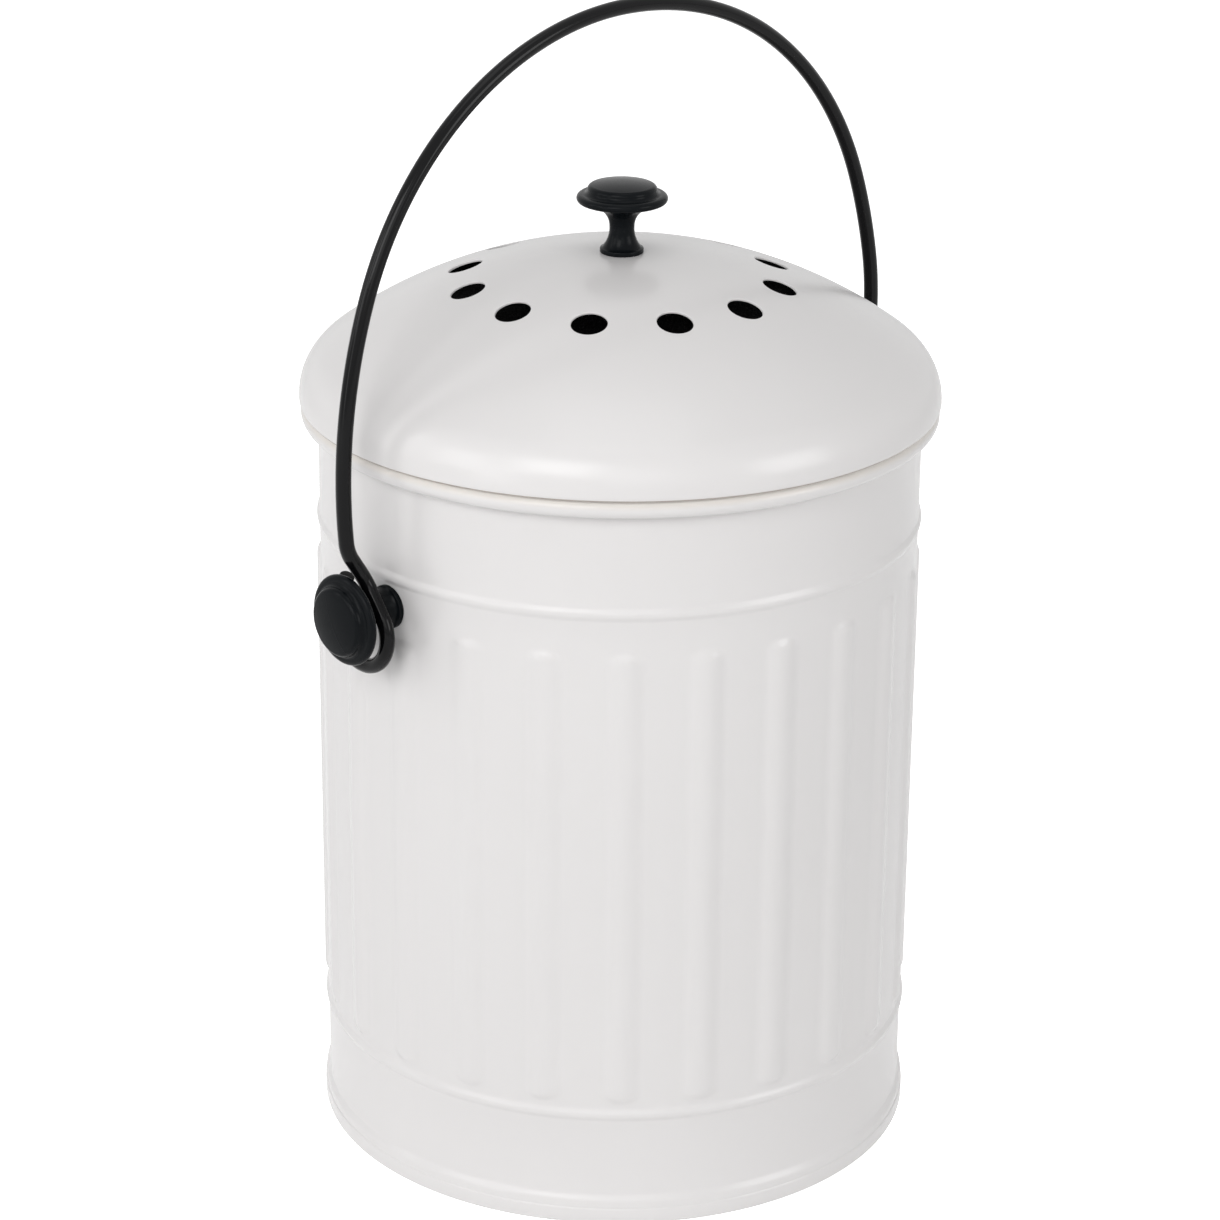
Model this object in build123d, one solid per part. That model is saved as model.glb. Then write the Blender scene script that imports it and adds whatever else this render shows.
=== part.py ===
from build123d import *
import os
from math import asin, cos, degrees, pi, radians, sin, sqrt

# Kitchen compost bin, in millimetres. The origin is the centre of the base, on the surface that
# the bin stands on. +Z is up, and the bail swings about an axis along X.

# Sheet metal, the same gauge in the wall, the base, the lid and the collar
SHEET = 0.6

# Wall of the bin
WALL_R = 87.0
SEAM_LEG_R = 87.8
SEAM_LEG_TOP = 4.3
SKIRT_R = 88.2
SKIRT_LOW = 5.2
SKIRT_HIGH = 6.3
WALL_LOW = 9.1
BEAD_PROUD = 0.9
BEAD_HALF_WIDTH = 1.9
BEAD_FLATS = 5
LOWER_BEAD_Z = 34.5
UPPER_BEAD_Z = 187.8
LAP_SEAM_ANGLE = 55.9
LAP_SEAM_WIDTH = 5.0
LAP_SEAM_PROUD = 0.35
LAP_SEAM_LOW = 12.0
LAP_SEAM_HIGH = 210.0

# Rolled rim round the mouth
MOUTH_R = 87.3
FLARE_LOW = 211.0
FLARE_HIGH = 217.5
RIM_Z = 222.0
CURL_R = 2.6
CURL_FLAT_ANGLE = 36.0
CURL_FLATS = 8

# Pressed ribs
RIB_COUNT = 24
RIB_PHASE = 3.4
RIB_PROUD = 1.1
RIB_FORM_R = 9.0
RIB_LOW = 38.1
RIB_HIGH = 177.7
RIB_HIGH_AT_KNOB = 170.5

# Base, folded round the wall's lower edge
CHANNEL_GAP = 0.08
HEM_R = SEAM_LEG_R + CHANNEL_GAP + SHEET
HEM_TOP = 4.2
BASE_PANEL_Z = 3.6
BASE_BEAD_R = 62.0
BASE_BEAD_RISE = 1.0
BASE_BEND_R = 1.2
HEM_BEND_R = 0.65
BEND_FLATS = 2

# Dome of the lid
LID_R = 92.3
DOME_R = 144.7
DOME_APEX = 264.7
SHOULDER_R = 16.5
SHOULDER_FLATS = 5
LID_EDGE_R = 1.1
HEM_INNER_R = 88.9
KNOB_SEAT_R = 6.6
VENT_COUNT = 12
VENT_PHASE = 6.0
VENT_RING_R = 45.7
VENT_R = 5.1

# Collar that centres the lid in the mouth
COLLAR_R = 85.6
COLLAR_FLANGE_R = 91.1
COLLAR_LOW = 208.5
COLLAR_BEND_R = 1.5
COLLAR_LEAD_ANGLE = 60.0

# Filter under the vents
RING_R = 63.8
RING_WALL = 0.8
RING_LOW = 241.0
TRAY_FIT = 0.1
TRAY_WALL = 1.5
TRAY_FLOOR = 1.6
TRAY_LIP_R = 66.5
TRAY_TOP = 248.7
TRAY_SLOT_RADII = (10.0, 26.0, 42.0, 58.0)
TRAY_BAR = 2.2
TRAY_SPOKES = 8
FILTER_R = 61.0
FILTER_TOP = 248.4

# Knobs, the same on the lid and on both sides, measured from the face that they sit on
KNOB_R = 13.0
KNOB_HEIGHT = 20.5
KNOB_FOOT_R = 6.25
KNOB_NECK_R = 3.6
KNOB_NECK_AT = 7.5
KNOB_BORE_DEPTH = 9.0
KNOB_FLATS = 3
PIVOT_Z = 179.1

# Threaded insert, screw, washers and seal of each knob
INSERT_R = 2.6
INSERT_GROOVE = 0.3
INSERT_LOW = 0.4
INSERT_HIGH = 8.4
SCREW_R = 1.95
THREAD_R = 2.0
CLEARANCE_R = 2.2
SCREW_HEAD_R = 4.0
SCREW_HEAD_HEIGHT = 2.4
LID_SCREW_LENGTH = 10.0
SIDE_SCREW_LENGTH = 12.0
WASHER_R = 4.5
WASHER_THICK = 0.8
SPRING_WASHER_R = 3.6
SPRING_WASHER_THICK = 0.9
SEAL_R = 5.5
SEAL_THICK = 1.5

# Bail, one round wire
WIRE_R = 2.2
BAIL_APEX = 335.0
BAIL_TOP_R = 99.0
BAIL_TOP_END = 20.0
BAIL_SIDE_R = 157.5
BAIL_SIDE_END = -4.5
BAIL_LEG_END = (101.6, 198.6)
EYE_OFFSET = 8.2
EYE_R = 10.4
EYE_BEHIND = 1.5
EYE_BELOW = 5.3
EYE_LEAVES_AT = 38.0
EYE_TAIL_R = 28.0
EYE_TAIL_ANGLE = 30.0
LEG_BEND_R = 12.0
EYE_BEND_R = 8.0


def chain(*pieces):
    """One wire from lines and arcs, given singly or in lists."""
    edges = []
    for piece in pieces:
        items = piece if isinstance(piece, list) else [piece]
        for item in items:
            edges.extend(item.edges())
    return Wire(edges)


def flats(arc, count):
    """Points along an arc at equal steps, so that it is drawn as that many flats."""
    return [tuple(arc @ (step / count))[:2] for step in range(count + 1)]


def corner(centre, radius, start, sweep):
    """The flats of a bend in sheet metal."""
    return flats(CenterArc(centre, radius, start, sweep), BEND_FLATS)


def strip(line):
    """The two sides of a strip of sheet metal, from the points along the middle of its thickness."""
    points = [Vector(*point) for point in line]
    headings = [(after - before).normalized() for before, after in zip(points, points[1:])]
    left = []
    right = []
    for point, before, after in zip(points, headings[:1] + headings, headings + headings[-1:]):
        across = Vector(-before.Y - after.Y, before.X + after.X) * (SHEET / 2 / (1 + before.dot(after)))
        left.append(point + across)
        right.append(point - across)
    return left, right


def sheet_ring(line):
    """Sheet metal turned about Z, from the points along the middle of its thickness."""
    left, right = strip(line)
    return turned(*left, *reversed(right))


def turned(*points):
    """A solid turned about Z from the corners of its section."""
    return revolve(Plane.XZ * make_face(Polyline(*points, close=True)), Axis.Z)


def cap(edge, top):
    """Arc of a shallow cap, from its edge to its top on the axis."""
    rise = abs(top - edge[1])
    radius = (edge[0] ** 2 + rise**2) / (2 * rise)
    reach = degrees(asin(edge[0] / radius))
    if top > edge[1]:
        return CenterArc((0, top - radius), radius, 90 - reach, reach)
    return CenterArc((0, top + radius), radius, reach - 90, -reach)


def upright(radius, low, high):
    """A cylinder about Z between two heights."""
    return Pos(0, 0, (low + high) / 2) * Cylinder(radius, high - low)


def bead(radius, height):
    """A bead rolled outwards, centred on a height, as the flats of a raised cosine."""
    crown = (1 + cos(pi / BEAD_FLATS)) / 2
    points = []
    for step in range(BEAD_FLATS + 1):
        across = 2 * step / BEAD_FLATS - 1
        rise = (1 + cos(pi * across)) / 2 / crown
        points.append((radius + BEAD_PROUD * rise, height + BEAD_HALF_WIDTH * across))
    return points


def plain_wall():
    """The rolled wall before its ribs are pressed: hem leg, skirt, two beads, mouth and curl."""
    middle = SHEET / 2
    mouth_r = MOUTH_R - middle
    curl_r = CURL_R - middle
    curl_z = RIM_Z - middle - curl_r * cos(radians(CURL_FLAT_ANGLE / 2))
    curl = CenterArc((mouth_r + curl_r, curl_z), curl_r, 180, -CURL_FLATS * CURL_FLAT_ANGLE)
    return sheet_ring([
        (SEAM_LEG_R - middle, SHEET),
        (SEAM_LEG_R - middle, SEAM_LEG_TOP),
        (SKIRT_R - middle, SKIRT_LOW),
        (SKIRT_R - middle, SKIRT_HIGH),
        (WALL_R - middle, WALL_LOW),
        *bead(WALL_R - middle, LOWER_BEAD_Z),
        *bead(WALL_R - middle, UPPER_BEAD_Z),
        (WALL_R - middle, FLARE_LOW),
        (mouth_r, FLARE_HIGH),
        *flats(curl, CURL_FLATS),
    ])


def rib_form(radius, angle, high):
    """A round-ended bar that presses one rib; its axis stands inside the wall."""
    axis_r = WALL_R + RIB_PROUD - RIB_FORM_R
    foot = (axis_r**2 + WALL_R**2 - RIB_FORM_R**2) / (2 * axis_r)
    end = sqrt(WALL_R**2 - foot**2)
    low_z = RIB_LOW + end
    high_z = high - end
    bar = upright(radius, low_z, high_z)
    bar += Pos(0, 0, low_z) * Sphere(radius)
    bar += Pos(0, 0, high_z) * Sphere(radius)
    return Rot(0, 0, angle) * Pos(axis_r, 0, 0) * bar


def bin_wall():
    """Ribbed steel wall with its lap seam and the two holes for the pivot screws."""
    outer_forms = []
    inner_forms = []
    for index in range(RIB_COUNT):
        angle = RIB_PHASE + index * 360 / RIB_COUNT
        at_knob = index in (0, RIB_COUNT // 2)
        high = RIB_HIGH_AT_KNOB if at_knob else RIB_HIGH
        outer_forms.append(rib_form(RIB_FORM_R, angle, high))
        inner_forms.append(rib_form(RIB_FORM_R - SHEET, angle, high))
    middle_r = WALL_R - SHEET / 2
    core = upright(middle_r, 0, RIM_Z)
    ribs = [form - core for form in outer_forms]
    wall = plain_wall() + ribs - inner_forms
    inner_r = WALL_R - SHEET
    seam_section = Plane.XZ * Pos(inner_r, (LAP_SEAM_LOW + LAP_SEAM_HIGH) / 2) * Rectangle(
        2 * LAP_SEAM_PROUD, LAP_SEAM_HIGH - LAP_SEAM_LOW
    )
    seam_sweep = degrees(LAP_SEAM_WIDTH / inner_r)
    wall += Rot(0, 0, LAP_SEAM_ANGLE - seam_sweep / 2) * revolve(seam_section, Axis.Z, seam_sweep)
    screw_hole = Pos(0, 0, PIVOT_Z) * Rot(0, 90, 0) * Cylinder(CLEARANCE_R, 3 * WALL_R)
    return wall - screw_hole


def base_pan():
    """Recessed bottom with a stiffening step, folded down, under and up round the wall's leg."""
    middle = SHEET / 2
    panel_z = BASE_PANEL_Z - middle
    inner_leg_r = SEAM_LEG_R - SHEET - CHANNEL_GAP - middle
    outer_leg_r = HEM_R - middle
    bend = BASE_BEND_R - middle
    turn = HEM_BEND_R - middle
    return sheet_ring([
        (0, panel_z + BASE_BEAD_RISE),
        (BASE_BEAD_R, panel_z + BASE_BEAD_RISE),
        (BASE_BEAD_R + 2 * BASE_BEAD_RISE, panel_z),
        *corner((inner_leg_r - bend, panel_z - bend), bend, 90, -90),
        *corner((inner_leg_r + turn, middle + turn), turn, 180, 90),
        *corner((outer_leg_r - turn, middle + turn), turn, 270, 90),
        (outer_leg_r, HEM_TOP),
    ])


def dome_centre_z():
    """Height of the centre that the dome is struck from."""
    return DOME_APEX - DOME_R


def dome_height(radius, inset=0.0):
    """Height of the dome's outer face at a radius, or of a face that far inside it."""
    return dome_centre_z() + sqrt((DOME_R - inset) ** 2 - radius**2)


def seat_height():
    """Height of the flat that is pressed in the middle of the dome for the knob."""
    return dome_height(KNOB_SEAT_R, SHEET / 2) + SHEET / 2


def lid_dome():
    """Domed lid with a flat for the knob, vents, a rounded shoulder and a folded edge."""
    middle = SHEET / 2
    centre_z = dome_centre_z()
    reach = DOME_R - SHOULDER_R
    shoulder = (LID_R - SHOULDER_R, centre_z + sqrt(reach**2 - (LID_R - SHOULDER_R) ** 2))
    start = degrees(asin((shoulder[1] - centre_z) / reach))
    seat_z = seat_height() - middle
    edge_z = RIM_Z + LID_EDGE_R
    round_r = SHOULDER_R - middle
    edge_r = LID_EDGE_R - middle
    left, right = strip([
        *flats(CenterArc(shoulder, round_r, start, -start), SHOULDER_FLATS),
        *corner((LID_R - LID_EDGE_R, edge_z), edge_r, 0, -90),
        (HEM_INNER_R, RIM_Z + middle),
    ])
    faces = []
    for side, height in ((left, seat_z + middle), (right, seat_z - middle)):
        radius = DOME_R if side is left else DOME_R - SHEET
        seat_r = sqrt(radius**2 - (height - centre_z) ** 2)
        low = asin((side[0].Y - centre_z) / radius)
        first = Vector(radius * cos(low), centre_z + radius * sin(low))
        crown_angle = (low + asin((height - centre_z) / radius)) / 2
        crown = (radius * cos(crown_angle), centre_z + radius * sin(crown_angle))
        dome = ThreePointArc((seat_r, height), crown, first)
        faces.append([Line((0, height), (seat_r, height)), dome, Polyline(first, *side[1:])])
    outer, inner = faces
    ends = [Line((0, seat_z - middle), (0, seat_z + middle)), Line(left[-1], right[-1])]
    lid = revolve(Plane.XZ * make_face(chain(outer, inner, ends)), Axis.Z)
    tilt = degrees(asin(VENT_RING_R / DOME_R))
    punches = []
    for index in range(VENT_COUNT):
        turn = Rot(0, 0, VENT_PHASE + index * 360 / VENT_COUNT)
        punches.append(turn * Pos(0, 0, centre_z) * Rot(0, tilt, 0) * Pos(0, 0, DOME_R) * Cylinder(VENT_R, 8))
    screw_hole = upright(CLEARANCE_R, DOME_APEX - 5, DOME_APEX + 5)
    return lid - punches - screw_hole


def lid_collar():
    """Pressed ring: a flange held on the lid's folded edge, and a wall that drops into the mouth."""
    middle = SHEET / 2
    flange_z = RIM_Z + SHEET + middle
    wall_r = COLLAR_R - middle
    bend = COLLAR_BEND_R
    return sheet_ring([
        (COLLAR_FLANGE_R, flange_z),
        *corner((wall_r + bend, flange_z - bend), bend, 90, 90),
        *corner((wall_r - bend, COLLAR_LOW + bend), bend, 0, -COLLAR_LEAD_ANGLE),
    ])


def filter_ring():
    """Hoop welded under the dome, which holds the tray."""
    hoop = upright(RING_R, RING_LOW, DOME_APEX) - upright(RING_R - RING_WALL, RING_LOW - 1, DOME_APEX + 1)
    return hoop & (Pos(0, 0, dome_centre_z()) * Sphere(DOME_R - SHEET))


def filter_tray():
    """Moulded tray with a slotted floor, a wall that pushes into the hoop and a lip to pull."""
    outer_r = RING_R - RING_WALL - TRAY_FIT
    inner_r = outer_r - TRAY_WALL
    floor_z = RING_LOW - TRAY_FLOOR
    tray = turned(
        (0, floor_z), (TRAY_LIP_R - 0.5, floor_z), (TRAY_LIP_R, floor_z + 0.5), (TRAY_LIP_R, RING_LOW),
        (outer_r, RING_LOW), (outer_r, TRAY_TOP - 0.6), (outer_r - 0.6, TRAY_TOP), (inner_r, TRAY_TOP),
        (inner_r, RING_LOW), (0, RING_LOW),
    )
    slots = Sketch()
    for inner, outer in zip(TRAY_SLOT_RADII, TRAY_SLOT_RADII[1:]):
        slots += Circle(outer - TRAY_BAR / 2) - Circle(inner + TRAY_BAR / 2)
    for index in range(TRAY_SPOKES // 2):
        slots -= Rot(0, 0, index * 360 / TRAY_SPOKES) * Rectangle(3 * FILTER_R, TRAY_BAR)
    cutter = extrude(Pos(0, 0, floor_z - 1) * slots, TRAY_FLOOR + 2)
    return tray - cutter


def charcoal_filter():
    """Round pad of carbon foam with eased edges, lying on the tray's floor."""
    pad = upright(FILTER_R, RING_LOW, FILTER_TOP)
    return chamfer(pad.edges(), 0.8)


def insert_body(groove):
    """Outside of a threaded insert, with the waist that locks it in the moulding."""
    waist = (INSERT_LOW + INSERT_HIGH) / 2
    return turned(
        (0, INSERT_LOW), (INSERT_R, INSERT_LOW), (INSERT_R, waist - 1), (INSERT_R - groove, waist - 0.6),
        (INSERT_R - groove, waist + 0.6), (INSERT_R, waist + 1), (INSERT_R, INSERT_HIGH), (0, INSERT_HIGH),
    )


def knob_insert():
    """Brass insert; the bore stands for its thread."""
    return insert_body(INSERT_GROOVE) - upright(THREAD_R, 0, INSERT_HIGH + 1)


def knob(foot_drop=0.0):
    """Turned knob: foot, waisted neck, flared head and a raised disc on top."""
    neck = (KNOB_NECK_R, KNOB_NECK_AT)
    chin = (7.6, 13.1)
    lower_neck = ThreePointArc((KNOB_FOOT_R - 0.7, 1.6), (4.05, 4.2), neck)
    upper_neck = ThreePointArc(neck, (4.6, 10.9), chin)
    rim = ThreePointArc((11.9, 14.6), (KNOB_R, 15.8), (12.2, 16.9))
    disc_edge = ThreePointArc((9.95, 18.9), (9.75, 19.5), (9.1, 19.85))
    top = cap((9.1, 19.85), KNOB_HEIGHT)
    body = turned(
        (0, -foot_drop), (KNOB_FOOT_R, -foot_drop), (KNOB_FOOT_R, 1.0),
        *flats(lower_neck, KNOB_FLATS)[:-1], *flats(upper_neck, KNOB_FLATS),
        *flats(rim, KNOB_FLATS), (10.6, 17.3), (9.95, 18.1),
        *flats(disc_edge, 2), *flats(top, 2)[1:],
    )
    bore = upright(THREAD_R + 0.1, -1, KNOB_BORE_DEPTH)
    return body - insert_body(INSERT_GROOVE) - bore


def screw(length):
    """Pan-head screw with its shank up +Z from the face under its head."""
    edge = (SCREW_HEAD_R, -SCREW_HEAD_HEIGHT * 0.45)
    body = turned(
        (0, length), (SCREW_R - 0.6, length), (SCREW_R, length - 0.6), (SCREW_R, 0), (SCREW_HEAD_R, 0),
        *flats(cap(edge, -SCREW_HEAD_HEIGHT), 2),
    )
    recess = Box(4.2, 1.0, 2.4) + Box(1.0, 4.2, 2.4)
    return body - Pos(0, 0, -SCREW_HEAD_HEIGHT) * recess


def flat_washer():
    """Flat washer under the screw head's side, its top face at zero height."""
    return upright(WASHER_R, -WASHER_THICK, 0) - upright(CLEARANCE_R, -2, 1)


def spring_washer():
    """Split washer pressed flat, its top face at zero height."""
    ring = upright(SPRING_WASHER_R, -SPRING_WASHER_THICK, 0) - upright(CLEARANCE_R, -2, 1)
    split = Rot(0, 0, 40) * Pos(SPRING_WASHER_R, 0, 0) * Rot(30, 0, 0) * Box(4, 0.5, 4)
    return ring - split


def seal():
    """Rubber washer against the inside of the wall, its inner flat at minus its thickness."""
    return upright(SEAL_R, -SEAL_THICK, 1) - upright(SCREW_R + 0.05, -3, 3)


def side_place(side, radius):
    """Puts a knob-wise part with its zero face on a side's pivot axis, pointing outwards."""
    return Pos(side * radius, 0, PIVOT_Z) * Rot(0, side * 90, 0)


def eye_point(side, angle, radius, centre):
    """A point of the bail's eye: 0 degrees is forwards, 90 is up."""
    forwards = centre[0] + radius * cos(radians(angle))
    up = centre[1] + radius * sin(radians(angle))
    return Vector(side * (WALL_R + EYE_OFFSET), -forwards, PIVOT_Z + up)


def bail_side(side):
    """One half of the bail's line, from the cut end of its eye to the top of the arch."""
    eye = (-EYE_BEHIND, -EYE_BELOW)
    tail_centre = (eye[0] - EYE_R + EYE_TAIL_R, eye[1])
    tail = ThreePointArc(
        eye_point(side, 180 - EYE_TAIL_ANGLE, EYE_TAIL_R, tail_centre),
        eye_point(side, 180 - EYE_TAIL_ANGLE / 2, EYE_TAIL_R, tail_centre),
        eye_point(side, 180, EYE_R, eye),
    )
    hook = ThreePointArc(
        eye_point(side, 180, EYE_R, eye),
        eye_point(side, 290, EYE_R, eye),
        eye_point(side, 360 + EYE_LEAVES_AT, EYE_R, eye),
    )
    leaving = eye_point(side, EYE_LEAVES_AT, EYE_R, eye)
    climb = -leaving.Y / sin(radians(EYE_LEAVES_AT))
    knee = leaving + Vector(0, sin(radians(EYE_LEAVES_AT)), cos(radians(EYE_LEAVES_AT))) * climb
    arch_z = BAIL_APEX - BAIL_TOP_R
    top_end = Vector(side * BAIL_TOP_R * cos(radians(BAIL_TOP_END)), 0,
                     arch_z + BAIL_TOP_R * sin(radians(BAIL_TOP_END)))
    crown_angle = radians((90 + BAIL_TOP_END) / 2)
    crown = Vector(side * BAIL_TOP_R * cos(crown_angle), 0, arch_z + BAIL_TOP_R * sin(crown_angle))

    def side_point(angle):
        lag = BAIL_SIDE_R - BAIL_TOP_R
        x = BAIL_SIDE_R * cos(radians(angle)) - lag * cos(radians(BAIL_TOP_END))
        z = arch_z + BAIL_SIDE_R * sin(radians(angle)) - lag * sin(radians(BAIL_TOP_END))
        return Vector(side * x, 0, z)

    leg_end = Vector(side * BAIL_LEG_END[0], 0, BAIL_LEG_END[1])
    leg = FilletPolyline(leaving, knee, leg_end, side_point(BAIL_SIDE_END), radius=(EYE_BEND_R, LEG_BEND_R))
    arc_middle = (BAIL_TOP_END + BAIL_SIDE_END) / 2
    flank = ThreePointArc(side_point(BAIL_SIDE_END), side_point(arc_middle), top_end)
    arch = ThreePointArc(top_end, crown, Vector(0, 0, BAIL_APEX))
    return [tail, hook, leg, flank, arch]


def bail():
    """Wire handle with an open eye round each pivot knob's neck."""
    line = chain(bail_side(-1) + bail_side(1))
    start = Plane(origin=line @ 0, z_dir=line % 0)
    wire = sweep(start * Circle(WIRE_R), path=line)
    print("bail: volume", round(wire.volume, 1), "against", round(pi * WIRE_R**2 * line.length, 1))
    return wire


def make_parts():
    """Every piece of the bin in its place, by name."""
    seat_z = seat_height()
    under_seat = seat_z - SHEET
    lid_stack = under_seat - WASHER_THICK
    parts = {
        "bin_wall": bin_wall(),
        "base_pan": base_pan(),
        "lid_dome": lid_dome(),
        "lid_collar": lid_collar(),
        "filter_ring": filter_ring(),
        "filter_tray": filter_tray(),
        "charcoal_filter": charcoal_filter(),
        "bail": bail(),
        "lid_knob": Pos(0, 0, seat_z) * knob(),
        "lid_insert": Pos(0, 0, seat_z) * knob_insert(),
        "lid_washer": Pos(0, 0, under_seat) * flat_washer(),
        "lid_spring_washer": Pos(0, 0, lid_stack) * spring_washer(),
        "lid_screw": Pos(0, 0, lid_stack - SPRING_WASHER_THICK) * screw(LID_SCREW_LENGTH),
    }
    wall_bar = upright(WALL_R, 0, RIM_Z)
    inner_bar = upright(WALL_R - SHEET, 0, RIM_Z)
    inner_r = WALL_R - SHEET
    washer_r = inner_r - SEAL_THICK
    spring_r = washer_r - WASHER_THICK
    for name, side in (("left", -1), ("right", 1)):
        parts[name + "_knob"] = side_place(side, WALL_R) * knob(foot_drop=0.5) - wall_bar
        parts[name + "_insert"] = side_place(side, WALL_R) * knob_insert()
        parts[name + "_seal"] = side_place(side, inner_r) * seal() & inner_bar
        parts[name + "_washer"] = side_place(side, washer_r) * flat_washer()
        parts[name + "_spring_washer"] = side_place(side, spring_r) * spring_washer()
        parts[name + "_screw"] = side_place(side, spring_r - SPRING_WASHER_THICK) * screw(SIDE_SCREW_LENGTH)
    return parts


os.makedirs("parts", exist_ok=True)
for node, solid in make_parts().items():
    export_step(solid, "parts/" + node + ".step")
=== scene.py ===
from math import acos, asin, atan2, cos, hypot, pi, radians, sin, sqrt

import bmesh
import bpy
from mathutils import Matrix, Vector, noise as field


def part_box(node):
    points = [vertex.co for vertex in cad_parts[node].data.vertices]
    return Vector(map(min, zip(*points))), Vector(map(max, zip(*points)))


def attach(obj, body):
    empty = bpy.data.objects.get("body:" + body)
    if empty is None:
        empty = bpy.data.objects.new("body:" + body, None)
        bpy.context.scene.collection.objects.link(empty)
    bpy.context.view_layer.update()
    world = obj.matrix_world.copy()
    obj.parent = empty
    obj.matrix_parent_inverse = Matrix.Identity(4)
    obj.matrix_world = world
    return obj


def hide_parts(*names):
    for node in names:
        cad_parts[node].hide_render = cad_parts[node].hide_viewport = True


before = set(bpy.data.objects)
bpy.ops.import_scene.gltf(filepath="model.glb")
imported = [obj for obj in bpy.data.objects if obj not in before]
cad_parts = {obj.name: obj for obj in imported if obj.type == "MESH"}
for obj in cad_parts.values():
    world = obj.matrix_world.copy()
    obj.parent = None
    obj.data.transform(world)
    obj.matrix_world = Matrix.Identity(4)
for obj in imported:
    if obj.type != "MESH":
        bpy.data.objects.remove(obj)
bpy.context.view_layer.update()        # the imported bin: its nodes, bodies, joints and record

# Camera: above the lid and looking down on it, in front of the bin and to its left, so that the left
# pivot knob faces the lens and the right one just peeks past the wall.
VIEW_TURN = radians(-43.0)
VIEW_DISTANCE = 1.0636
VIEW_HEIGHT = 0.5768
VIEW_PITCH = radians(21.631)
VIEW_YAW = radians(-0.129)
VIEW_ROLL = radians(0.525)
LENS = 114.7
SENSOR_WIDTH = 36
NEAREST = 0.05
FARTHEST = 20

forward = Vector((sin(VIEW_YAW) * cos(VIEW_PITCH), cos(VIEW_YAW) * cos(VIEW_PITCH), -sin(VIEW_PITCH)))
level = Vector((cos(VIEW_YAW), -sin(VIEW_YAW), 0))
upwards = level.cross(forward)
across = cos(VIEW_ROLL) * level + sin(VIEW_ROLL) * upwards
upwards = cos(VIEW_ROLL) * upwards - sin(VIEW_ROLL) * level
turn = Matrix.Rotation(VIEW_TURN, 4, "Z")
axes = Matrix((across, upwards, -forward)).transposed().to_4x4()
camera = bpy.data.objects.new("camera", bpy.data.cameras.new("camera"))
camera.data.sensor_width = SENSOR_WIDTH
camera.data.lens = LENS
camera.data.clip_start = NEAREST
camera.data.clip_end = FARTHEST
camera.matrix_world = turn @ Matrix.Translation((0, -VIEW_DISTANCE, VIEW_HEIGHT)) @ axes
bpy.context.scene.collection.objects.link(camera)
bpy.context.scene.camera = camera


# Studio: a white sweep of floor, a white surround, and seven large soft lamps, placed as the camera
# sees them. The surround is full white only to the lens and in reflections, and lights the bin less.
def shader_tree(owner):
    """An empty node tree of a material or the world, with its output node."""
    owner.use_nodes = True
    tree = owner.node_tree
    tree.nodes.clear()
    kind = "ShaderNodeOutputWorld" if isinstance(owner, bpy.types.World) else "ShaderNodeOutputMaterial"
    return tree, tree.nodes.new(kind)


def seen_directly(tree, by_lens=1.0, in_mirrors=1.0):
    """How white the background is to the lens and in mirror-like surfaces; zero for other rays."""
    path = tree.nodes.new("ShaderNodeLightPath")
    mirror = tree.nodes.new("ShaderNodeMath")
    mirror.operation = "MAXIMUM"
    tree.links.new(path.outputs["Is Glossy Ray"], mirror.inputs[0])
    tree.links.new(path.outputs["Is Transmission Ray"], mirror.inputs[1])
    levels = []
    for seen, level in ((path.outputs["Is Camera Ray"], by_lens), (mirror.outputs[0], in_mirrors)):
        scaled = tree.nodes.new("ShaderNodeMath")
        scaled.operation = "MULTIPLY"
        scaled.inputs[1].default_value = level
        tree.links.new(seen, scaled.inputs[0])
        levels.append(scaled.outputs[0])
    either = tree.nodes.new("ShaderNodeMath")
    either.operation = "MAXIMUM"
    tree.links.new(levels[0], either.inputs[0])
    tree.links.new(levels[1], either.inputs[1])
    return either.outputs[0]


SURROUND_LIGHT = 0.35
PURE_WHITE = (1, 1, 1, 1)
world = bpy.data.worlds.new("surround")
bpy.context.scene.world = world
tree, output = shader_tree(world)
dim = tree.nodes.new("ShaderNodeBackground")
dim.inputs["Color"].default_value = PURE_WHITE
dim.inputs["Strength"].default_value = SURROUND_LIGHT
white = tree.nodes.new("ShaderNodeBackground")
white.inputs["Color"].default_value = PURE_WHITE
white.inputs["Strength"].default_value = 1.0
choice = tree.nodes.new("ShaderNodeMixShader")
tree.links.new(seen_directly(tree), choice.inputs["Fac"])
tree.links.new(dim.outputs[0], choice.inputs[1])
tree.links.new(white.outputs[0], choice.inputs[2])
tree.links.new(choice.outputs[0], output.inputs["Surface"])

FLOOR_SIZE = 12.0
FLOOR_COLOUR = (0.9, 0.9, 0.9, 1)
FLOOR_GLOW = 0.86
FLOOR_MIRROR_GLOW = 0.45
mesh = bmesh.new()
bmesh.ops.create_grid(mesh, x_segments=1, y_segments=1, size=FLOOR_SIZE / 2)
floor = bpy.data.objects.new("floor", bpy.data.meshes.new("floor"))
mesh.to_mesh(floor.data)
mesh.free()
bpy.context.scene.collection.objects.link(floor)
paper = bpy.data.materials.new("white_sweep")
tree, output = shader_tree(paper)
matt = tree.nodes.new("ShaderNodeBsdfDiffuse")
matt.inputs["Color"].default_value = FLOOR_COLOUR
glow = tree.nodes.new("ShaderNodeEmission")
glow.inputs["Color"].default_value = PURE_WHITE
tree.links.new(seen_directly(tree, FLOOR_GLOW, FLOOR_MIRROR_GLOW), glow.inputs["Strength"])
both = tree.nodes.new("ShaderNodeAddShader")
tree.links.new(matt.outputs[0], both.inputs[0])
tree.links.new(glow.outputs[0], both.inputs[1])
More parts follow.
